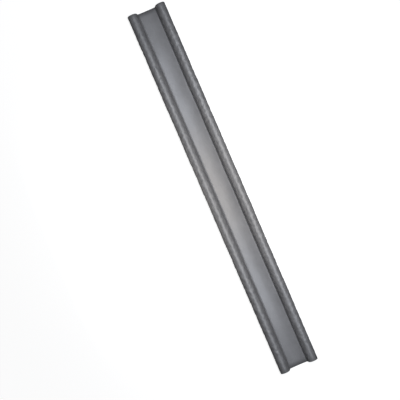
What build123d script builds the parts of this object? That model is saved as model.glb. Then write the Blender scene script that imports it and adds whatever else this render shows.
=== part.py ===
from build123d import *
import os

# Door bottom seal. A coated-fabric cover is sewn into two long sleeves with a flat web between
# them, and a foam rod fills each sleeve. The web slides under the door and the door's bottom edge
# stands in the channel between the two sleeves.
# Frame: X along the seal, Y across it, Z up. The origin is the middle of the flat underside.

# Driving dimensions, in millimetres
length = 950.0  # the seal from end to end
channel_width = 45.0  # clear width between the sleeves, for the door leaf
rod_diameter = 22.0  # each foam rod
fabric = 0.8  # one layer of the cover's fabric
rod_clearance = 0.3  # between a rod and the lining of its sleeve
rod_recess = 2.0  # from the mouth of a sleeve to the end of its rod
wall_lean = 2.4  # how far a sleeve's inner wall leans back from its foot
pocket_tip_radius = 0.1  # the pocket's tip, where the two layers meet at the seam
stitch_inset = 1.6  # from the foot of a sleeve to the middle of its line of stitches
stitch_groove_width = 1.3  # the dent that the stitches pull into the web
stitch_groove_depth = 0.25

# Sizes and places that follow from them
pocket_radius = rod_diameter / 2 + rod_clearance
sleeve_radius = pocket_radius + fabric
web_thickness = 2 * fabric
seam_y = channel_width / 2 + fabric  # middle of the seam that closes a sleeve
sleeve_y = channel_width / 2 + wall_lean + sleeve_radius  # axis of a sleeve and its rod
stitch_y = channel_width / 2 - stitch_inset
SIDES = {"left": 1, "right": -1}  # the left sleeve lies on the +Y side


def taut_outline(rod_side_radius, seam_side_radius):
    """The outline, on the +Y side, of fabric pulled tight from the seam round the rod and back."""
    round_the_rod = Pos(sleeve_y, sleeve_radius) * Circle(rod_side_radius)
    at_the_seam = Pos(seam_y, fabric) * Circle(seam_side_radius)
    return make_hull(round_the_rod.edges() + at_the_seam.edges())


def on_both_sides(shape):
    """The shape of the +Y side with its mirror image on the -Y side."""
    return shape + mirror(shape, about=Plane.YZ)


def stitch_grooves():
    """The shallow round dents of the two stitch lines, above and below the web."""
    half_width = stitch_groove_width / 2
    groove_radius = (half_width**2 + stitch_groove_depth**2) / (2 * stitch_groove_depth)
    above = Pos(stitch_y, web_thickness - stitch_groove_depth + groove_radius) * Circle(groove_radius)
    below = Pos(stitch_y, stitch_groove_depth - groove_radius) * Circle(groove_radius)
    return on_both_sides(above + below)


def cover():
    """The sewn cover: two open-ended sleeves and the double layer of fabric between them."""
    sleeves = on_both_sides(taut_outline(sleeve_radius, fabric))
    web = Pos(0, fabric) * Rectangle(2 * seam_y, web_thickness)
    pockets = on_both_sides(taut_outline(pocket_radius, pocket_tip_radius))
    section = sleeves + web - stitch_grooves() - pockets
    return extrude(Plane.YZ * section, amount=length / 2, both=True)


def foam_rod(side):
    """The foam rod of the sleeve on one side, a little shorter than its sleeve."""
    rod_length = length - 2 * rod_recess
    axis = Pos(0, side * sleeve_y, sleeve_radius) * Rot(0, 90, 0)
    return axis * Cylinder(rod_diameter / 2, rod_length)


os.makedirs("parts", exist_ok=True)
export_step(cover(), "parts/cover.step")
for name, side in SIDES.items():
    export_step(foam_rod(side), f"parts/foam_rod_{name}.step")
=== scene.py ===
# %% [markdown]
# # A door bottom seal
#
# The seal is a sewn cover of coated fabric with a foam rod in each of its two long sleeves.
# The web between the sleeves slides under a door, and the door's edge stands between the sleeves.
# The solids of the construction are loaded first as a fixed frame. Everything made below takes
# its sizes and places from them, so that each soft piece lies where its solid lies.

# %% Load the frame and read the driving sizes
import math

import bpy
import numpy as np
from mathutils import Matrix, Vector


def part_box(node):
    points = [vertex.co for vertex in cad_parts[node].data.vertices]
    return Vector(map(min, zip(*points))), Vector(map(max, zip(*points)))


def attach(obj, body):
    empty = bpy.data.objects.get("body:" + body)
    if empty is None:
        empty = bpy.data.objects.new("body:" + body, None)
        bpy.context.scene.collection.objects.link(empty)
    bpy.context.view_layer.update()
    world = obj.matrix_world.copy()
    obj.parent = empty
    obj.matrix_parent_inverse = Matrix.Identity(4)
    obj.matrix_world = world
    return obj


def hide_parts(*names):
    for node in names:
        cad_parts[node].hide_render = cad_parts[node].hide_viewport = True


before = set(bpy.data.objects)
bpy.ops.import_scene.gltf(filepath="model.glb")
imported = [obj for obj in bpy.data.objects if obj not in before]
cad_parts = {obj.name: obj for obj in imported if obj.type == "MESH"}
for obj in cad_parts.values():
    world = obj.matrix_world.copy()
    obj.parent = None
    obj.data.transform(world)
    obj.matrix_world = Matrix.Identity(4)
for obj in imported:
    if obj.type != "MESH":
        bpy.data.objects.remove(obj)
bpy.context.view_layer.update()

MM = 0.001
cover_low, cover_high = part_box("cover")
rod_low, rod_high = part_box("foam_rod_left")
half_length = cover_high.x
sleeve_radius = (cover_high.z - cover_low.z) / 2
sleeve_y = (rod_low.y + rod_high.y) / 2
rod_radius = (rod_high.z - rod_low.z) / 2
rod_half_length = rod_high.x
fabric = 0.8 * MM
web_thickness = 2 * fabric
foot_y = 22.5 * MM
stitch_inset = 1.6 * MM
stitch_y = foot_y - stitch_inset
print(f"seal {2 * half_length:.3f} m long, sleeves {2 * sleeve_radius / MM:.1f} mm thick")

# %% [markdown]
# ## The outline of a sleeve
#
# Fabric that is pulled tight round a rod and sewn down beside it makes a teardrop: straight from
# the seam to the rod, round the rod, and straight back again. Two circles describe it, a small
# one at the seam and a large one round the rod, with the two lines that touch both of them.
# Working the points out from the circles keeps the outline true to the frame's sizes, where a
# traced list of points would not be. The seam stands a little off the floor, as it does on a
# real seal, because the round rods hold it up on both sides.

# %% The two circles, and which way the straight parts between them face
SEAM_LIFT = 1.5 * MM
seam_centre = np.array([foot_y + fabric, fabric + SEAM_LIFT])
rod_centre = np.array([sleeve_y, sleeve_radius])
between = rod_centre - seam_centre
tilt = math.atan2(between[1], between[0])
spread = math.acos((fabric - sleeve_radius) / np.linalg.norm(between))
wall_normal, under_normal = tilt + spread, tilt - spread
lean = abs(math.degrees(wall_normal) - 180)
print(f"the wall of a sleeve leans {lean:.1f} degrees back from upright")


def at_angle(centre, radius, angle):
    """The point of a circle at an angle."""
    return centre + radius * np.array([math.cos(angle), math.sin(angle)])


def distances(points):
    """How far along an outline each of its points lies."""
    return np.concatenate([[0], np.cumsum(np.linalg.norm(np.diff(points, axis=0), axis=1))])


# %% [markdown]
# ## The fold at the foot of a sleeve
#
# Where the wall comes down to the web, the fabric turns in a tight fold, because no cloth makes
# a knife-sharp corner. A bevel modifier could round the corner afterwards, but it would add rows
# that the later steps don't count on. So the fold is part of the outline itself: a short curve
# that leaves the wall, is drawn towards the corner, and runs out flat on the web.

# %% The whole outline on the +Y side, from the seam under the web up to the foot on top of it
FOOT_FILLET = 0.7 * MM
FILLET_POINTS = 7
ROD_POINTS = 60


def foot_fillet(corner, wall_direction):
    """The small hollow curve in which the wall of the sleeve turns down into the web."""
    start = corner + FOOT_FILLET * wall_direction
    end = corner - np.array([FOOT_FILLET, 0])
    part = np.linspace(0, 1, FILLET_POINTS)[:, None]
    return (1 - part) ** 2 * start + 2 * part * (1 - part) * corner + part**2 * end


wall_top = at_angle(rod_centre, sleeve_radius, wall_normal)
wall_low = at_angle(seam_centre, fabric, wall_normal)
wall_direction = (wall_top - wall_low) / np.linalg.norm(wall_top - wall_low)
foot_z = web_thickness + SEAM_LIFT
foot_corner = wall_low + wall_direction * (foot_z - wall_low[1]) / wall_direction[1]
round_rod = np.array([at_angle(rod_centre, sleeve_radius, angle)
                      for angle in np.linspace(under_normal, wall_normal, ROD_POINTS)])
seam_below = at_angle(seam_centre, fabric, under_normal)[None]
taut = np.vstack([seam_below, round_rod, foot_fillet(foot_corner, wall_direction)])
girth = distances(taut)[-1]
print(f"fabric round one sleeve: {girth / MM:.1f} mm")

# %% [markdown]
# ## Rows round a sleeve
#
# The real fabric is even all round, so the mesh has rows at even distances along the outline,
# and they crinkle alike in the simulation. A subdivision modifier could double a coarse mesh
# instead, but it would round the fold off again. Spacing the rows as listed here lets the last
# three stand closer together, where the fold turns sharply.

# %% Space the rows of a sleeve
SLEEVE_ROWS = 42
FOLD_STARTS = 2.6 * MM
FOLD_ROWS = np.array([1.5, 0.7, 0]) * MM


def spaced(points, wanted):
    """The points of an outline that lie at the wanted distances along it."""
    along = distances(points)
    return np.stack([np.interp(wanted, along, points[:, k]) for k in (0, 1)], axis=1)


row_at = np.concatenate([np.linspace(0, girth - FOLD_STARTS, SLEEVE_ROWS - 2), girth - FOLD_ROWS])
sleeve_rows = spaced(taut, row_at)
print(f"sleeve: {len(sleeve_rows)} rows, {row_at[1] / MM:.1f} mm apart, closer at the fold")

# %% [markdown]
# ## The web between the sleeves
#
# The web is the same fabric, two layers thick. A line of stitches runs beside each sleeve and
# pulls a shallow dent into both layers. The dent could be sculpted, or left to a bump in the
# material, but a formula puts it exactly under the thread and gives it a real shape. The rows are
# close together at the stitches, where the shape changes, and wide apart over the plain middle.

# %% Rows of the web, from its middle line out to the sleeve
STITCH_DENT = 0.4 * MM
DENT_HALF_WIDTH = 1.2 * MM
PLAIN_ROWS = 7
PLAIN_STOPS = 1.8 * MM
DENT_ROWS = np.array([-1.2, -0.8, -0.4, 0, 0.4, 0.8]) * MM
web_edge = sleeve_rows[-1][0]
plain_y = np.linspace(0, stitch_y - PLAIN_STOPS, PLAIN_ROWS)
web_y = np.concatenate([plain_y, stitch_y + DENT_ROWS, [web_edge]])
WEB_ROWS = len(web_y) - 1


def stitch_dent(y):
    """How far the stitches pull the fabric in, at a distance y from the web's middle line."""
    away = np.clip(np.abs(np.abs(y) - stitch_y) / DENT_HALF_WIDTH, 0, 1)
    return STITCH_DENT * 0.5 * (1 + np.cos(math.pi * away))


def web_lift(y):
    """How far the web has risen off the floor towards the seams that hold it."""
    return SEAM_LIFT * np.clip(np.abs(y) / web_edge, 0, 1) ** 2


web_top = np.stack([web_y, web_thickness + web_lift(web_y) - stitch_dent(web_y)], axis=1)
web_under = np.stack([web_y, web_lift(web_y) + stitch_dent(web_y)], axis=1)
print(f"web: {2 * web_edge / MM:.1f} mm wide, {WEB_ROWS} rows on each side of its middle line")

# %% [markdown]
# ## One closed outline
#
# Seen from the end, the outside of the cover is a single closed line: out along the underside,
# round the left sleeve, back over the web, round the right sleeve, and back along the underside.
# The sleeves and the web could also be separate meshes, but their edges would have to be matched
# wherever they meet. Keeping one numbered loop makes every later step a plain loop over its rows.

# %% Close the loop
half = np.vstack([web_under[:-1], sleeve_rows, web_top[:-1][::-1]])
mirrored = half[::-1][1:-1] * [-1, 1]
loop = np.vstack([half, mirrored])
LOOP_ROWS = len(loop)
HALF_ROWS = len(half)
around = distances(np.vstack([loop, loop[:1]]))
print(f"{LOOP_ROWS} rows, {around[-1] / MM:.0f} mm of fabric all round")

# %% Which way each row faces, and which rows are sleeve or stitches
SAME_PLACE = 0.1 * MM
ahead, behind = np.roll(loop, -1, axis=0), np.roll(loop, 1, axis=0)
run = (ahead - behind) / np.linalg.norm(ahead - behind, axis=1, keepdims=True)
normal = np.stack([run[:, 1], -run[:, 0]], axis=1)
left_sleeve = np.arange(WEB_ROWS, WEB_ROWS + SLEEVE_ROWS + 1)
right_sleeve = (LOOP_ROWS - left_sleeve)[::-1]
is_sleeve = np.zeros(LOOP_ROWS)
is_sleeve[left_sleeve] = is_sleeve[right_sleeve] = 1
seam_distance = np.abs(np.abs(loop[:, 0]) - stitch_y)
is_stitch = seam_distance < SAME_PLACE
print(f"{int(is_sleeve.sum())} rows are sleeve, {is_stitch.sum()} rows carry stitches")

# %% [markdown]
# ## From an outline to a tube
#
# The seal is made as a long tube of cloth, so the loop is repeated at many stations along it.
# A curve object with a bevel shape would sweep the outline too, but its points could not be
# moved one by one. A grid of points can be: push says for each point how far it stands out
# from the plain outline, and the floor stops whatever would go through it.

# %% Stations along the seal, and helpers for grids of points
STATIONS = 444
stations = np.linspace(-half_length, half_length, STATIONS + 1)
numbers = np.arange((STATIONS + 1) * LOOP_ROWS).reshape(STATIONS + 1, LOOP_ROWS)
print(f"{STATIONS + 1} stations, {2 * half_length / STATIONS / MM:.2f} mm apart")


def swept(push):
    """Every point of the cover's outside, moved out along the outline's normal by push."""
    places = np.zeros((STATIONS + 1, LOOP_ROWS, 3))
    places[:, :, 0] = stations[:, None]
    places[:, :, 1:] = loop + push[:, :, None] * normal
    places[:, :, 2] = np.maximum(places[:, :, 2], 0)
    return places


def tube_faces(grid):
    """Quads of a grid of point numbers that is closed round and open at both ends."""
    beside = np.roll(grid, -1, axis=1)
    return np.stack([grid[:-1], beside[:-1], beside[1:], grid[1:]], axis=-1).reshape(-1, 4)


# %% [markdown]
# ## Puckers from sewing
#
# The seams are a little shorter than the fabric that they hold, so the sleeves pucker beside the
# stitches and crinkle lightly all round the rods. Noise could stand in for that, but folds that
# push each other aside are what a cloth solver is good at. The cover is simulated as one sewn
# tube at twenty times its size, because the solver is tuned for cloth the size of a garment. The
# stitches are pinned, the web is held nearly still, and the sleeves are held softly, as the foam
# inside holds them, while their fabric grows by a few percent.

# %% How the cloth is held, how far it grows, and how it behaves
SIM_SCALE = 20
SIM_FRAMES = 16
FABRIC_EXCESS = 0.03
STITCH_HOLD, WEB_HOLD, FOAM_HOLD = 1.0, 0.95, 0.3
FIRST_UNEVENNESS = 0.02 * MM
RANDOM = np.random.default_rng(7)


def add_piece(name, data):
    """A new object with this mesh, lamp or camera, in the scene."""
    piece = bpy.data.objects.new(name, data)
    bpy.context.scene.collection.objects.link(piece)
    return piece


def in_group(piece, name, weights):
    """A vertex group with a weight for each row of the loop."""
    group = piece.vertex_groups.new(name=name)
    for row, weight in enumerate(weights):
        group.add([int(v) for v in numbers[:, row]], float(weight), "REPLACE")
    return name


def add_cloth(tube):
    """The solver's settings: stiff coated fabric, blown up gently, with no weight of its own."""
    cloth = tube.modifiers.new("cloth", "CLOTH")
    held = np.where(is_stitch, STITCH_HOLD, np.where(is_sleeve > 0, FOAM_HOLD, WEB_HOLD))
    cloth.settings.vertex_group_mass = in_group(tube, "held", held)
    cloth.settings.vertex_group_shrink = in_group(tube, "not_growing", 1 - is_sleeve)
    cloth.settings.shrink_max = 0
    cloth.settings.shrink_min = -FABRIC_EXCESS
    cloth.settings.effector_weights.gravity = 0
    cloth.settings.quality = 5
    cloth.settings.mass = 0.3
    cloth.settings.bending_stiffness = 5
    cloth.settings.use_pressure = True
    cloth.settings.uniform_pressure_force = 1
    cloth.collision_settings.use_collision = False
    cloth.point_cache.frame_end = SIM_FRAMES


# %% Run the solver
def simulated_push():
    """How far the solver moves each point of the cover along the outline's normal."""
    start = swept(RANDOM.normal(0, FIRST_UNEVENNESS, numbers.shape) * is_sleeve)
    mesh = bpy.data.meshes.new("sewn_tube")
    mesh.from_pydata((start.reshape(-1, 3) * SIM_SCALE).tolist(), [], tube_faces(numbers).tolist())
    tube = add_piece("sewn_tube", mesh)
    add_cloth(tube)
    for step in range(1, SIM_FRAMES + 1):
        bpy.context.scene.frame_set(step)
    solved = tube.evaluated_get(bpy.context.evaluated_depsgraph_get()).data
    places = np.zeros(len(solved.vertices) * 3, np.float32)
    solved.vertices.foreach_get("co", places)
    moved = places.reshape(*numbers.shape, 3) / SIM_SCALE - swept(np.zeros(numbers.shape))
    bpy.data.objects.remove(tube)
    bpy.context.scene.frame_set(1)
    return moved[:, :, 1] * normal[:, 0] + moved[:, :, 2] * normal[:, 1]


pucker = simulated_push()
pucker -= pucker.mean(axis=0)
print(f"the solver moved the sleeves by {pucker[:, left_sleeve].std() / MM:.2f} mm on average")

# %% [markdown]
# ## How much of the puckers stays
#
# On the real seal the foam fills its sleeve, so the fabric can't leave the rod by more than a
# fraction of a millimetre. A collision object inside the sleeve would stop it too, but slowly,
# and the solver would stick to it in places. Here part of the movement is kept, and a curve that
# levels off caps the rest: small crinkles stay as they are, and large ones are flattened.

# %% Cap the puckers
PUCKER_KEPT = 0.60
PUCKER_MOST = 0.36 * MM
pucker = PUCKER_MOST * np.tanh(pucker * PUCKER_KEPT / PUCKER_MOST)
print(f"puckers: {pucker[:, left_sleeve].std() / MM:.2f} mm on average, "
      f"{np.abs(pucker).max() / MM:.2f} mm at most")

# %% [markdown]
# ## Broad unevenness
#
# A foam rod isn't perfectly straight or round, and a web of two loose layers has slow waves. A
# displacement texture would do, but it would need its own coordinates round the sleeves. The
# unevenness is a sum of waves with random directions instead, which is smooth, has no grid, and
# comes out the same on each run because its seed is fixed.

# %% Add slow hills to the sleeves and the web
SLEEVE_HILL = 0.16 * MM
WEB_HILL = 0.10 * MM
CRINKLE = 0.10 * MM
HILL_SIZE = 80 * MM
CRINKLE_SIZE = 10 * MM
WAVES = 24
SHORTEST_WAVE, LONGEST_WAVE = 0.7, 1.6
STITCHES_HOLD_WITHIN = 6 * MM
FLOOR_HOLDS_WITHIN = 1.5 * MM


def hills(along, across, size):
    """Random hills of about unit height, whose usual width is size, at places on the fabric."""
    total = np.zeros(np.broadcast(along, across).shape)
    for _ in range(WAVES):
        angle = RANDOM.uniform(0, 2 * math.pi)
        length = size * RANDOM.uniform(SHORTEST_WAVE, LONGEST_WAVE)
        phase = RANDOM.uniform(0, 2 * math.pi)
        way = along * math.cos(angle) + across * math.sin(angle)
        total += np.sin(2 * math.pi * way / length + phase)
    return total / math.sqrt(WAVES / 2)


free = np.clip(seam_distance / STITCHES_HOLD_WITHIN, 0, 1)
slow = hills(stations[:, None], around[None, :-1], HILL_SIZE) * free
small = hills(stations[:, None], around[None, :-1], CRINKLE_SIZE) * free * is_sleeve
above_floor = np.clip(loop[:, 1] / FLOOR_HOLDS_WITHIN, 0, 1)
hill = np.where(is_sleeve > 0, SLEEVE_HILL, WEB_HILL)
push = pucker + (slow * hill + small * CRINKLE) * above_floor
outside = swept(push)
print(f"fabric stands {push.min() / MM:.2f} to {push.max() / MM:+.2f} mm off its plain outline")

# %% [markdown]
# ## The cut ends and the lining
#
# The seal is cut to length through all its layers, so at each end the fabric's thickness shows
# round the open mouth of both sleeves, and the web is pressed a little flatter. A solidify
# modifier would give the fabric its thickness, but it would also try to part the two layers of
# the web. So the inside of each sleeve is made from the same rows, one thickness further in, and
# its first and last rows meet in a narrow tip at the seam.

# %% Press the cut ends of the web and line the sleeves
PRESSED_END = 9 * MM
PRESSED_BY = 0.3 * MM
TIP_INSET = 0.2 * MM
TIP_HALF_HEIGHT = 0.1 * MM


def press_ends(places):
    """The blade that cuts the seal to length presses the ends of the web a little flatter."""
    pressed = np.clip(1 - (half_length - np.abs(stations)) / PRESSED_END, 0, 1)
    on_web_top = (1 - is_sleeve) * (loop[:, 1] > web_thickness / 2)
    lowered = places.copy()
    lowered[:, :, 2] -= PRESSED_BY * pressed[:, None] * on_web_top
    return lowered


def lining_of(rows):
    """The inside of a sleeve's fabric, drawn together to a narrow tip at the seam."""
    inside = outside[:, rows].copy()
    inside[:, :, 1:] -= fabric * normal[rows]
    side = np.sign(loop[rows[1], 0])
    for row, above in ((0, -side), (-1, side)):
        inside[:, row, 1] = side * (seam_centre[0] + TIP_INSET)
        inside[:, row, 2] = seam_centre[1] + above * TIP_HALF_HEIGHT
    return inside


outside = press_ends(outside)
linings = [lining_of(left_sleeve), lining_of(right_sleeve)]
print(f"linings: {fabric / MM:.1f} mm inside the sleeves, {linings[0].shape[1]} rows each")

# %% [markdown]
# ## One closed mesh
#
# The cover is one sewn piece, so it is one mesh: the outside, both linings, and the cut edges.
# Each of them is a grid or a strip of faces, and could be made as an object of its own and
# joined. Collecting points and faces in one place is simpler to follow, and the seams between
# the parts come out closed. The fabric's own coordinates, along the seal and round the loop in
# metres, go into a UV map, so that a weave can follow the cloth round the sleeves.

# %% A collector of points, faces, fabric coordinates and finishes
WEB, SLEEVE = 0, 1


def smooth_mesh(name, places, faces):
    """A mesh of these points and faces, shaded smooth."""
    made = bpy.data.meshes.new(name)
    made.from_pydata(places.tolist(), [], faces)
    made.polygons.foreach_set("use_smooth", np.ones(len(faces), bool))
    made.update()
    return made


class MeshParts:
    """Points, faces, fabric coordinates and finishes that are put together bit by bit."""

    def __init__(self):
        self.places, self.faces, self.uv, self.finish, self.count = [], [], [], [], 0

    def tube(self, places, around_row, finish, inward=False):
        """A grid closed round and open at both ends, with a finish for each row of faces."""
        size = places.shape[0] * places.shape[1]
        grid = self.count + np.arange(size).reshape(places.shape[:2])
        self.places.append(places.reshape(-1, 3))
        self.count += grid.size
        low, high = around_row[:-1], around_row[1:]
        across = np.stack([low, high, high, low], axis=-1)
        along = np.stack([stations[:-1], stations[:-1], stations[1:], stations[1:]], axis=-1)
        pairs = np.stack(np.broadcast_arrays(along[:, None], across[None]), axis=-1)
        faces = tube_faces(grid)
        self.faces.append(faces[:, ::-1] if inward else faces)
        self.uv.append((pairs[:, :, ::-1] if inward else pairs).reshape(-1, 2))
        self.finish.append(np.tile(finish, len(places) - 1))
        return grid

    def quads(self, faces, finish):
        """Flat faces at the cut ends, whose fabric coordinates are their own Y and Z."""
        self.faces.append(np.array(faces))
        self.finish.append(np.array(finish))
        self.uv.append(np.vstack(self.places)[np.array(faces).ravel()][:, 1:])

    def mesh(self, name):
        """A smooth mesh of everything so far, with the UV map that the weave follows."""
        made = smooth_mesh(name, np.vstack(self.places), np.vstack(self.faces).tolist())
        uv = np.vstack(self.uv).astype(np.float32).ravel()
        made.uv_layers.new(name="fabric").uv.foreach_set("vector", uv)
        finish = np.concatenate(self.finish).astype(np.int32)
        made.polygons.foreach_set("material_index", finish)
        return made


# %% The cut edges at one end
def cut_edges(out, inner_rings):
    """The cut edge at one end: a ring of fabric round each pocket and the web's two layers."""
    faces = []
    for rows, inner, turn in zip((left_sleeve, right_sleeve), inner_rings, (1, -1)):
        for k in range(SLEEVE_ROWS):
            faces.append([out[rows[k]], out[rows[k + 1]], inner[k + 1], inner[k]])
        faces.append([out[rows[0]], inner[0], inner[-1], out[rows[-1]]])
        for k in range(WEB_ROWS):
            low, high = turn * k, HALF_ROWS - 1 - turn * k
            quad = [out[i % LOOP_ROWS] for i in (low, low + turn, high - turn, high)]
            faces.append(quad[::turn])
    return faces


end_finish = ([SLEEVE] * (SLEEVE_ROWS + 1) + [WEB] * WEB_ROWS) * 2
print(f"{len(end_finish)} faces close the fabric at each end")

# %% Put the cover together
parts = MeshParts()
row_finish = np.where(is_sleeve * np.roll(is_sleeve, -1) > 0, SLEEVE, WEB)
outer = parts.tube(outside, around, row_finish)
inner = []
for rows, lining in zip((left_sleeve, right_sleeve), linings):
    lining_around = np.append(around[rows], around[rows[-1]])
    inner.append(parts.tube(lining, lining_around, [SLEEVE] * len(rows), inward=True))
first_edges = cut_edges(outer[0], [ring[0] for ring in inner])
parts.quads([quad[::-1] for quad in first_edges], end_finish)
parts.quads(cut_edges(outer[-1], [ring[-1] for ring in inner]), end_finish)

cover = add_piece("cover_fabric", parts.mesh("cover"))
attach(cover, "root")
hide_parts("cover")
print(f"cover: {len(cover.data.polygons) * 2} triangles")

# %% [markdown]
# ## The stitches
#
# Two lines of lockstitch close the sleeves, one beside each, and show on both faces of the web.
# Each stitch is a short arc of thread that comes out of one needle hole and goes down into the
# next. A dashed texture would be flat from the side, and an array modifier keeps a straight line
# where the fabric has waves. So one small bent tube is worked out at each stitch, at the height
# that the fabric has there.

# %% Points of one line of stitches
STITCH_PITCH = 4.0 * MM
STITCH_LENGTH = 3.3 * MM
CLEAR_END = 3 * MM
THREAD_RADIUS = 0.24 * MM
ARC_HEIGHT, ARC_SINKS = 2.2, 1.2
ARC_STEPS = 6
THREAD_SIDES = 6
along_arc = np.linspace(0, 1, ARC_STEPS + 1)
round_thread = np.linspace(0, 2 * math.pi, THREAD_SIDES, endpoint=False)


def stitch_line(row):
    """Points of all stitches of one line: stitch, step along its arc, side of the thread, XYZ."""
    facing = np.sign(normal[row, 1])
    last = half_length - CLEAR_END - STITCH_LENGTH
    starts = np.arange(-half_length + CLEAR_END, last, STITCH_PITCH)
    x = starts[:, None] + STITCH_LENGTH * along_arc
    y = np.interp(x, stations, outside[:, row, 1])
    arc = THREAD_RADIUS * (ARC_HEIGHT * np.sin(math.pi * along_arc) - ARC_SINKS)
    z = np.interp(x, stations, outside[:, row, 2]) + facing * arc
    points = np.zeros((*x.shape, THREAD_SIDES, 3))
    points[..., 0] = x[..., None]
    points[..., 1] = y[..., None] + THREAD_RADIUS * np.cos(round_thread)
    points[..., 2] = z[..., None] + THREAD_RADIUS * np.sin(round_thread)
    return points


# %% Sew the four visible lines of thread
def stitches_mesh():
    """All stitches in one mesh, each a closed little tube."""
    points = np.concatenate([stitch_line(row) for row in np.flatnonzero(is_stitch)])
    faces = []
    for grid in np.arange(points.size // 3).reshape(points.shape[:3]):
        faces += tube_faces(grid)[:, ::-1].tolist()
        faces += [grid[0].tolist(), grid[-1, ::-1].tolist()]
    return smooth_mesh("stitches", points.reshape(-1, 3), faces), len(points)


thread_mesh, stitch_count = stitches_mesh()
stitches = add_piece("seam_stitches", thread_mesh)
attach(stitches, "root")
thread_triangles = sum(len(face.vertices) - 2 for face in thread_mesh.polygons)
print(f"{stitch_count} stitches, {thread_triangles} triangles")

# %% [markdown]
# ## The foam rods
#
# Each sleeve holds a rod of closed-cell foam, cut off square a little inside the mouth of the
# sleeve. A cylinder from the menu would have a flat end with no points inside it. Only the end
# shows, so here the end face is a fine polar grid with the burst cells of the cut pressed into
# it, and the long side, which lies against the lining, has fewer rings.

# %% The cells that the cut has opened
CELL_SIZE = 1.3 * MM
CELL_DEPTH = 0.35 * MM
CELLS_PER_SQUARE = 3
CELL_NARROWS = 2.4


def burst_cells(y, z):
    """How deep the foam's cells, cut open, go in at places on the end face."""
    count = int(CELLS_PER_SQUARE * (2 * rod_radius / CELL_SIZE) ** 2)
    middles = RANDOM.uniform(-rod_radius, rod_radius, (count, 2))
    away = np.hypot(y[:, None] - middles[:, 0], z[:, None] - middles[:, 1]).min(axis=1)
    return CELL_DEPTH * np.clip(1 - (CELL_NARROWS * away / CELL_SIZE) ** 2, 0, 1)


# %% Points of a foam rod
ROD_SPOKES = 132
END_RINGS = 30
SIDE_RINGS = 60
END_EDGE = 0.01 * MM


def rod_rings():
    """Points of a rod on the X axis: rings out over one end, along it, and in over the other."""
    radii = np.linspace(0, rod_radius, END_RINGS + 1)[1:]
    side_x = np.linspace(rod_half_length, -rod_half_length, SIDE_RINGS + 1)[1:-1]
    first, last = np.full(END_RINGS, rod_half_length), np.full(END_RINGS, -rod_half_length)
    ring_x = np.concatenate([first, side_x, last])[:, None]
    sizes = np.concatenate([radii, np.full(len(side_x), rod_radius), radii[::-1]])[:, None]
    spokes = np.linspace(0, 2 * math.pi, ROD_SPOKES, endpoint=False)
    y, z = sizes * np.cos(spokes), sizes * np.sin(spokes)
    return np.stack(np.broadcast_arrays(ring_x, y, z), axis=-1)


def with_cut_ends(places):
    """The same points, with those on the end faces pressed in where the cut has opened a cell."""
    cut = np.abs(places[:, 0]) > rod_half_length - END_EDGE
    cut &= np.hypot(places[:, 1], places[:, 2]) < rod_radius - END_EDGE
    depth = burst_cells(places[cut, 1], places[cut, 2])
    places[cut, 0] -= np.sign(places[cut, 0]) * depth
    return places


# %% Make both foam rods
def rod_mesh(side):
    """A foam rod with finely divided, cut ends."""
    rings = rod_rings()
    tips = [[rod_half_length, 0, 0], [-rod_half_length, 0, 0]]
    places = with_cut_ends(np.vstack([rings.reshape(-1, 3), tips]))
    places += [0, side * sleeve_y, sleeve_radius]
    grid = np.arange(rings.size // 3).reshape(rings.shape[:2])
    faces = tube_faces(grid)[:, ::-1].tolist()
    for tip, ring, turn in ((grid.size, grid[0], 1), (grid.size + 1, grid[-1], -1)):
        for pair in zip(ring.tolist(), np.roll(ring, -1).tolist()):
            faces.append([tip, *pair[::turn]])
    return smooth_mesh("foam_rod", places, faces)


rods = []
for name, side in (("left", 1), ("right", -1)):
    rod = add_piece(f"foam_{name}", rod_mesh(side))
    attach(rod, "root")
    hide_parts(f"foam_rod_{name}")
    rods.append(rod)
rod_triangles = sum(len(face.vertices) - 2 for face in rods[0].data.polygons)
print(f"foam rods: {rod_triangles} triangles each")

# %% [markdown]
# ## Materials as small graphs
#
# Every finish below is a graph of shader nodes. It could be drawn by hand in the shader editor,
# where it looks clear but can't be repeated. Building the graphs through a few short helpers
# keeps each material as a list of what it looks like: its tone, its roughness and its relief.

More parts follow.
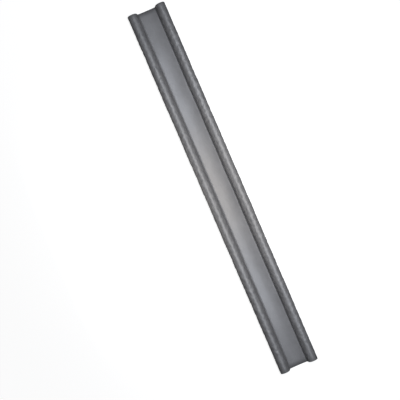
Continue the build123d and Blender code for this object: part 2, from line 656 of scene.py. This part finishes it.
# %% Helpers for node graphs
class Graph:
    """A material's nodes, with short ways to add and to join them."""

    def __init__(self, name):
        self.material = bpy.data.materials.new(name)
        self.material.use_nodes = True
        self.nodes = self.material.node_tree.nodes
        self.links = self.material.node_tree.links
        self.shader = self.nodes["Principled BSDF"]

    def put(self, socket, value):
        """Join a socket to another node's output, or give it a plain value."""
        if isinstance(value, bpy.types.NodeSocket):
            self.links.new(value, socket)
        else:
            socket.default_value = value

    def set(self, **values):
        """Plain values or outputs for inputs of the shader, named with _ for a space."""
        for name, value in values.items():
            self.put(self.shader.inputs[name.replace("_", " ")], value)

    def add(self, kind, inputs=(), **settings):
        """A node with some of its settings and some of its inputs."""
        made = self.nodes.new(kind)
        for key, value in settings.items():
            setattr(made, key, value)
        for key, value in dict(inputs).items():
            self.put(made.inputs[key], value)
        return made

    def math(self, operation, *values):
        """One step of arithmetic on numbers or outputs."""
        made = self.add("ShaderNodeMath", operation=operation)
        for socket, value in zip(made.inputs, values):
            self.put(socket, value)
        return made.outputs[0]

    def between(self, value, low, high, start=0.0, end=1.0):
        """A smooth step from start to end while value goes from low to high."""
        ranges = {"Value": value, "From Min": low, "From Max": high}
        ranges |= {"To Min": start, "To Max": end}
        step = self.add("ShaderNodeMapRange", ranges, interpolation_type="SMOOTHSTEP")
        return step.outputs["Result"]

    def solid(self):
        """The place in the object, in metres."""
        return self.add("ShaderNodeTexCoord").outputs["Object"]

    def noise(self, place, scale, detail=2.0, stretch=(1, 1, 1)):
        """Soft noise with scale hills in a metre, drawn out where stretch is small."""
        drawn = self.add("ShaderNodeMapping", {"Vector": place, "Scale": stretch}).outputs[0]
        inputs = {"Vector": drawn, "Scale": scale, "Detail": detail}
        return self.add("ShaderNodeTexNoise", inputs).outputs["Fac"]

    def around_one(self, *parts):
        """One, plus each pair's noise, centred on nothing, times the pair's weight."""
        total = 1.0
        for noise, weight in parts:
            total = self.math("MULTIPLY_ADD", self.math("SUBTRACT", noise, 0.5), weight, total)
        return total

    def bump(self, height, distance, under=None):
        """The shading normal of a height that goes from 0 to 1, on top of another normal."""
        relief = {"Height": height, "Strength": 1.0, "Distance": distance}
        made = self.add("ShaderNodeBump", relief)
        if under is not None:
            self.put(made.inputs["Normal"], under)
        return made.outputs["Normal"]

    def tone(self, value, tint):
        """A grey of this value with a slight tint, as the base colour."""
        colour = self.add("ShaderNodeVectorMath", {"Scale": value}, operation="SCALE")
        colour.inputs[0].default_value = tint
        self.put(self.shader.inputs["Base Color"], colour.outputs[0])


# %% [markdown]
# ## The coated fabric
#
# The cover is a tight polyester weave under a thin satin coating. It lies smooth and even on the
# web, is softly blotched and crinkled where it is gathered on the sleeves, and is rougher where
# the ends were cut, with painted shade darkening its tone there. Photographs of cloth could be
# wrapped round it, but they repeat and they carry their own light. Here the weave is a bump that
# follows the fabric's own coordinates, so it turns with the sleeves, and the stains are soft noise
# that never repeats. The web and the sleeves are two materials, so that each one's gloss is a
# plain number, which a game engine can take over. The sleeves' tone is also set darker than the
# web's, as painted shade for the creases of the gathered fabric.

# %% The weave
WEAVE_PITCH = 0.42 * MM
WEAVE_DEPTH = 0.012 * MM


def weave_height(graph):
    """A plain weave: in each square of a checkerboard one thread passes over the other."""
    cloth = graph.add("ShaderNodeUVMap", uv_map="fabric").outputs[0]
    place = graph.add("ShaderNodeSeparateXYZ", {"Vector": cloth})
    ridges = []
    for axis in ("X", "Y"):
        phase = graph.math("MULTIPLY", place.outputs[axis], math.pi / WEAVE_PITCH)
        ridges.append(graph.math("ABSOLUTE", graph.math("SINE", phase)))
    squares = graph.add("ShaderNodeTexChecker", {"Vector": cloth, "Scale": 1 / WEAVE_PITCH})
    warp_over = squares.outputs["Fac"]
    weft_over = graph.math("SUBTRACT", 1.0, warp_over)
    warp = graph.math("MULTIPLY", ridges[0], warp_over)
    return graph.math("ADD", warp, graph.math("MULTIPLY", ridges[1], weft_over))


# %% Both finishes of the fabric
FABRIC_TINT = (1.0, 0.992, 1.008)
STAIN_SCALE, STAIN_WEIGHT = 26, 0.22
BLOTCH_SCALE, BLOTCH_DRAWN = 210, (0.45, 1, 1)
YARN_SCALE, YARN_DRAWN, YARN_WEIGHT = 1700, (0.15, 1, 1), 0.14
CRINKLE_SCALE, CRINKLE_DRAWN, CRINKLE_DEPTH = 330, (0.7, 1, 1), 0.30 * MM
DULL_AND_SHADED_END = 15 * MM
ROUGH_BLOTCH, ROUGH_END = 0.12, 0.22


def fabric_material(name, tone, blotches, painted_end_shade, roughness, specular, ior, crinkled):
    """The coated fabric: uneven in tone, satin, rougher and with painted shade at the cut ends,
    woven, crinkled or flat.
    """
    graph = Graph(name)
    solid = graph.solid()
    x = graph.add("ShaderNodeSeparateXYZ", {"Vector": solid}).outputs["X"]
    from_end = graph.math("SUBTRACT", half_length, graph.math("ABSOLUTE", x))
    dull_and_shaded = graph.between(from_end, 0, DULL_AND_SHADED_END, 1, 0)
    blotch = graph.noise(solid, BLOTCH_SCALE, 3, BLOTCH_DRAWN)
    stain = graph.noise(solid, STAIN_SCALE, 2)
    yarn = graph.noise(solid, YARN_SCALE, 1, YARN_DRAWN)

    uneven = graph.around_one((blotch, blotches), (stain, STAIN_WEIGHT), (yarn, YARN_WEIGHT))
    # painted shade: the tone darkens towards the cut ends, where the roughness also rises
    shaded_towards_ends = graph.math("SUBTRACT", 1.0, graph.math("MULTIPLY", dull_and_shaded, painted_end_shade))
    graph.tone(graph.math("MULTIPLY", graph.math("MULTIPLY", uneven, shaded_towards_ends), tone), FABRIC_TINT)

    spots = graph.math("SUBTRACT", blotch, 0.5)
    rough = graph.math("MULTIPLY_ADD", spots, ROUGH_BLOTCH, roughness)
    graph.set(Roughness=graph.math("MULTIPLY_ADD", dull_and_shaded, ROUGH_END, rough))
    graph.set(Specular_IOR_Level=specular, IOR=ior, Sheen_Weight=0.02, Sheen_Roughness=0.4)

    relief = None
    if crinkled:
        crinkles = graph.noise(solid, CRINKLE_SCALE, 2, CRINKLE_DRAWN)
        relief = graph.bump(crinkles, CRINKLE_DEPTH)
    graph.set(Normal=graph.bump(weave_height(graph), WEAVE_DEPTH, relief))
    return graph.material


# painted shade: the sleeves' tone is set lower than the web's for the creases of the gathered
# fabric
web_fabric = fabric_material("web_fabric", tone=0.18, blotches=0.20, painted_end_shade=0.55,
                             roughness=0.34, specular=0.5, ior=1.5, crinkled=False)
sleeve_fabric = fabric_material("sleeve_fabric", tone=0.125, blotches=1.25, painted_end_shade=0.35,
                                roughness=0.57, specular=1.0, ior=1.75, crinkled=True)
for finish in (web_fabric, sleeve_fabric):
    cover.data.materials.append(finish)
    print(f"{finish.name}: {len(finish.node_tree.nodes)} nodes")

# %% [markdown]
# ## The sewing thread
#
# Strong polyester thread is twisted from plies, so a close look shows slanted bands along it. The
# plies could be modelled as three thin strands, at three times the triangles for something half
# a millimetre thick. A wave texture turned askew gives the same bands as gloss and bump, and as
# painted shade in the tone, darker in the grooves between the plies.

# %% Thread, tone on tone with the fabric
TWIST_TURN = math.radians(35)
TWIST_SCALE = 700
TWIST_DEPTH = 0.04 * MM
THREAD_GROOVE_SHADE, THREAD_LIGHT = 0.12, 0.24
THREAD_ROUGH, THREAD_SMOOTH = 0.75, 0.5


def thread_material():
    """Twisted polyester thread: light and smooth on the plies, rough and darkened by painted shade
    between them.
    """
    graph = Graph("sewing_thread")
    turned = {"Vector": graph.solid(), "Rotation": (0, 0, TWIST_TURN)}
    slanted = graph.add("ShaderNodeMapping", turned).outputs[0]
    waves = {"Vector": slanted, "Scale": TWIST_SCALE, "Distortion": 1.0}
    twist = graph.add("ShaderNodeTexWave", waves).outputs["Fac"]
    # painted shade: the tone is darker in the grooves between the plies
    graph.tone(graph.between(twist, 0, 1, THREAD_GROOVE_SHADE, THREAD_LIGHT), FABRIC_TINT)
    graph.set(Roughness=graph.between(twist, 0, 1, THREAD_ROUGH, THREAD_SMOOTH))
    graph.set(Normal=graph.bump(twist, TWIST_DEPTH))
    return graph.material


stitches.data.materials.append(thread_material())
print(f"thread {2 * THREAD_RADIUS / MM:.2f} mm thick, a stitch every {STITCH_PITCH / MM:.0f} mm")

# %% [markdown]
# ## The foam
#
# Polyethylene foam is pale and matt, with closed cells of about a millimetre whose thin walls
# catch the light. Modelling every cell would take millions of faces. The larger burst cells are
# in the end's mesh already, and a Voronoi texture adds the small ones: its distance paints shade
# into the middle of each cell and leaves its walls pale; the same value drives roughness and bump.

# %% Foam, with pale cell walls round burst cells darkened by painted shade
FOAM_TINT = (1.0, 1.0, 0.97)
FOAM_CELL_SHADE, FOAM_WALL = 0.46, 0.62
CELL_ROUGH, WALL_ROUGH = 0.9, 0.65
SMALL_CELL_SCALE = 1100
SMALL_CELL_DEPTH = 0.25 * MM
FOAM_STAIN_SCALE = 90
STAINED, CLEAN = 0.88, 1.06


def foam_material():
    """Closed-cell foam: pale cell walls round burst cells, with painted shade in the cells."""
    graph = Graph("cell_foam")
    solid = graph.solid()
    voronoi = graph.add("ShaderNodeTexVoronoi", {"Vector": solid, "Scale": SMALL_CELL_SCALE})
    cells = voronoi.outputs["Distance"]
    stain = graph.between(graph.noise(solid, FOAM_STAIN_SCALE, 2), 0.2, 0.8, STAINED, CLEAN)
    # painted shade: the middle of each small cell is darker than its pale wall
    walls = graph.between(cells, 0.1, 0.6, FOAM_CELL_SHADE, FOAM_WALL)
    graph.tone(graph.math("MULTIPLY", walls, stain), FOAM_TINT)
    graph.set(Roughness=graph.between(cells, 0, 0.7, CELL_ROUGH, WALL_ROUGH))
    graph.set(Specular_IOR_Level=0.3)
    graph.set(Normal=graph.bump(cells, SMALL_CELL_DEPTH))
    return graph.material


foam = foam_material()
for rod in rods:
    rod.data.materials.append(foam)
print(f"{foam.name}: {len(foam.node_tree.nodes)} nodes")

# %% [markdown]
# ## The floor
#
# The seal lies on a plain white sweep with a faint shadow under it. A floor that is lit white
# needs so much light that it bleaches the object, and it throws that light back on its flanks.
# So this floor glows nearly white for the camera, adds the lamps' light with the seal's shadow in
# it, and is a plain dark table to every other ray.

# %% Lay the floor
FLOOR_HALF = 6.0
FLOOR_BELOW = 0.1 * MM
corners = [(FLOOR_HALF * x, FLOOR_HALF * y, 0) for x, y in ((-1, -1), (1, -1), (1, 1), (-1, 1))]
floor_mesh = bpy.data.meshes.new("floor")
floor_mesh.from_pydata(corners, [], [(0, 1, 2, 3)])
floor = add_piece("floor", floor_mesh)
floor.location.z = -FLOOR_BELOW
print(f"floor {2 * FLOOR_HALF:.0f} m square, {FLOOR_BELOW / MM:.1f} mm under the seal")

# %% Make it white to the camera and dark to other rays
LIT_GREY = (0.30, 0.30, 0.30, 1)
TABLE_GREY = (0.12, 0.12, 0.12, 1)
GLOW_NEAR, GLOW_FAR = 0.89, 1.0
NEAR, FAR = 0.5, 1.4


def floor_material():
    """White to the camera, with a faint shadow of the seal, and a dark table to other rays."""
    graph = Graph("white_floor")
    graph.set(Base_Color=LIT_GREY, Roughness=0.9, Specular_IOR_Level=0.0)
    length = graph.add("ShaderNodeVectorMath", {0: graph.solid()}, operation="LENGTH")
    strength = graph.between(length.outputs["Value"], NEAR, FAR, GLOW_NEAR, GLOW_FAR)
    glow = graph.add("ShaderNodeEmission", {"Strength": strength})
    lit = graph.add("ShaderNodeAddShader", {0: glow.outputs[0], 1: graph.shader.outputs[0]})
    table = graph.add("ShaderNodeBsdfDiffuse", {"Color": TABLE_GREY})
    to_camera = graph.add("ShaderNodeLightPath").outputs["Is Camera Ray"]
    seen = graph.add("ShaderNodeMixShader", {0: to_camera, 1: table.outputs[0], 2: lit.outputs[0]})
    graph.put(graph.nodes["Material Output"].inputs["Surface"], seen.outputs[0])
    return graph.material


floor_mesh.materials.append(floor_material())
print(f"floor glows {GLOW_NEAR} near the seal and {GLOW_FAR} from {FAR} m on")

# %% [markdown]
# ## Lamps
#
# The photograph looks lit by softboxes above: the middle is brighter and a little warmer than the
# ends, and the satin web shines more on one side. One large lamp would light the whole length
# alike. So a row of small softboxes hangs over the seal, brightest over the middle, and a little
# to one side of it, where the sagging web mirrors them. Weak low lamps on all four sides keep the
# flanks and the foam readable in views from the side.

# %% Hang the lamps
WARM, COOL = (1.0, 0.95, 0.90), (0.86, 0.91, 1.0)
LOW = 0.12
lamps = []


def softbox(name, place, power, long, wide, colour, turned=(0, 0)):
    """A rectangular lamp that shines straight down, or is turned about X and Y in degrees."""
    lamp = bpy.data.lights.new(name, "AREA")
    lamp.shape = "RECTANGLE"
    lamp.size, lamp.size_y = long, wide
    lamp.energy = power
    lamp.color = colour
    holder = add_piece(name, lamp)
    holder.location = place
    holder.rotation_euler = (math.radians(turned[0]), math.radians(turned[1]), 0)
    lamps.append(lamp)


softbox("middle_softbox", (0, -0.09, 0.5), 1.45, 0.30, 0.10, WARM)
for side in (-1, 1):
    softbox("quarter_softbox", (side * 0.30, -0.10, 0.5), 1.20, 0.30, 0.10, COOL)
    softbox("end_softbox", (side * 0.65, -0.10, 0.75), 0.60, 0.40, 0.12, COOL)
    softbox("low_end_softbox", (side * 1.2, 0, LOW), 0.8, 0.20, 0.40, COOL, (0, side * 90))
softbox("low_left_softbox", (0, 0.45, LOW), 0.34, 0.30, 0.12, WARM, (-90, 0))
softbox("low_right_softbox", (0, -0.45, LOW), 0.16, 0.30, 0.12, WARM, (90, 0))
print(f"{len(lamps)} lamps, {sum(lamp.energy for lamp in lamps):.1f} W in all")

# %% [markdown]
# ## The room
#
# The studio's walls send back a little cool light from everywhere, which keeps the shadows from
# going black. A world with one colour would be either too bright for the object or too dark for
# a white picture. So the world has two backgrounds: a dim one that lights the seal, and a white
# one that only the camera sees.

# %% World: a dim room that the camera sees as white
ROOM_COLOUR = (0.9, 0.93, 1.0, 1)
ROOM_STRENGTH = 0.06
world = bpy.data.worlds.new("studio")
bpy.context.scene.world = world
world.use_nodes = True
world_nodes, world_links = world.node_tree.nodes, world.node_tree.links
room = world_nodes["Background"]
room.inputs["Color"].default_value = ROOM_COLOUR
room.inputs["Strength"].default_value = ROOM_STRENGTH
white = world_nodes.new("ShaderNodeBackground")
white.inputs["Color"].default_value = (1, 1, 1, 1)
rays = world_nodes.new("ShaderNodeLightPath")
seen = world_nodes.new("ShaderNodeMixShader")
world_links.new(rays.outputs["Is Camera Ray"], seen.inputs["Fac"])
world_links.new(room.outputs[0], seen.inputs[1])
world_links.new(white.outputs[0], seen.inputs[2])
world_links.new(seen.outputs[0], world_nodes["World Output"].inputs["Surface"])
print(f"the room lights the seal at {ROOM_STRENGTH} and looks white")

# %% [markdown]
# ## The camera
#
# The camera looks straight down, turned so that the seal leans as it does in the photograph. It
# could be placed by eye, but its height matters: from 1.8 m up, the round sleeves reach past the
# web at both ends just as much as in the photograph. The seal's middle lies 22.6 pixels right of
# the picture's middle and 12.1 above it. The lens follows from the height and from how many
# millimetres one pixel covers at the sleeves' height, so the seal has the right size at once.

# %% Place the camera
IMAGE_SIDE = 400
SENSOR = 36.0
TURN = math.radians(-113.3)
PIXEL = 2.451 * MM
CENTRE_RIGHT = 22.6
CENTRE_UP = 12.1
CAMERA_HEIGHT = 1.8
right = np.array([math.cos(TURN), math.sin(TURN)])
up = np.array([-math.sin(TURN), math.cos(TURN)])
aside = -(CENTRE_RIGHT * right + CENTRE_UP * up) * PIXEL
camera_data = bpy.data.cameras.new("camera")
camera = add_piece("camera", camera_data)
camera.location = (aside[0], aside[1], CAMERA_HEIGHT)
camera.rotation_euler = (0, 0, TURN)
camera_data.sensor_width = SENSOR
camera_data.lens = (CAMERA_HEIGHT - sleeve_radius) * SENSOR / IMAGE_SIDE / PIXEL
bpy.context.scene.camera = camera
bpy.context.scene.view_settings.view_transform = "Standard"
print(f"camera {CAMERA_HEIGHT} m up with a {camera_data.lens:.1f} mm lens")
